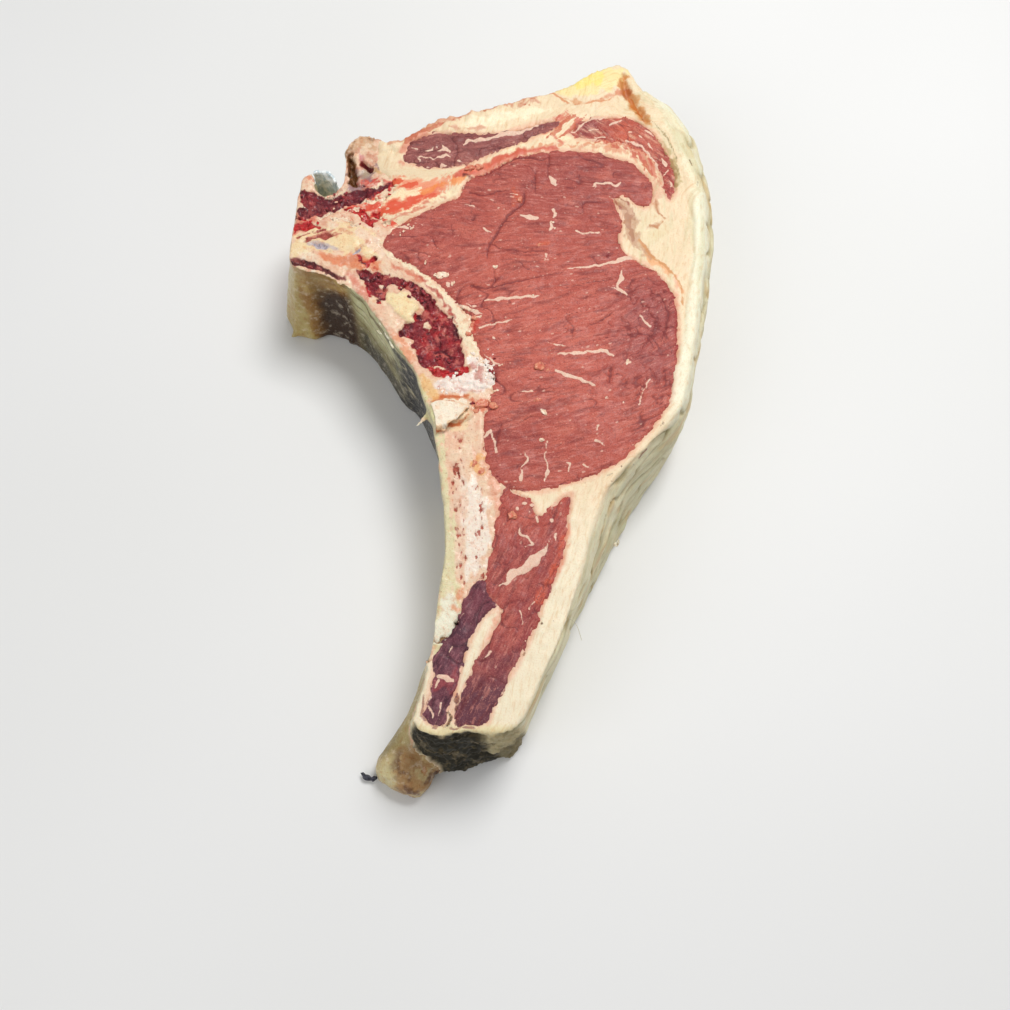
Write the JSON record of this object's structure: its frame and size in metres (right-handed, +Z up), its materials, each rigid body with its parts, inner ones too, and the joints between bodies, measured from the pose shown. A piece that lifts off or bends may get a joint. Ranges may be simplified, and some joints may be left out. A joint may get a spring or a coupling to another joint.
{
  "type": "bone-in beef rib steak",
  "caption": "Thick dry-aged beef rib steak on the bone: eye of the rib, cap and tail muscles in creamy fat, with rib, half vertebra and canal film, lying flat.",
  "frame": {"origin": "middle of the plan, on the surface the steak lies on", "axes": "+Z up out of the upper cut face, +Y from the tail of the rib to the back, +X from the backbone to the fat cap"},
  "size_m": [0.1806, 0.2946, 0.0488],
  "materials": {
    "eye_lean": "raw lean beef, fine grain, moist satin",
    "dark_lean": "raw lean beef, dark, moist satin",
    "bright_lean": "raw lean beef, bright, marbled, moist satin",
    "tail_lean": "raw lean beef, coarse grain along the rib",
    "dried_lean": "aged lean beef, dried dark purple",
    "rib": "sawn porous bone with dark marrow and pale membrane",
    "vertebra": "sawn bone, cartilage and dark marrow, moist",
    "film": "translucent blue-grey film, wet",
    "fat": "firm creamy beef fat with a dry aged rind"
  },
  "bodies": {
    "root": {"eye_muscle": "eye_lean", "top_muscle": "dark_lean", "cap_muscle": "bright_lean", "outer_rib_muscle": "tail_lean", "inner_rib_muscle": "dried_lean", "rib_bone": "rib", "backbone": "vertebra", "canal_film": "film", "fat": "fat"}
  },
  "joints": []
}
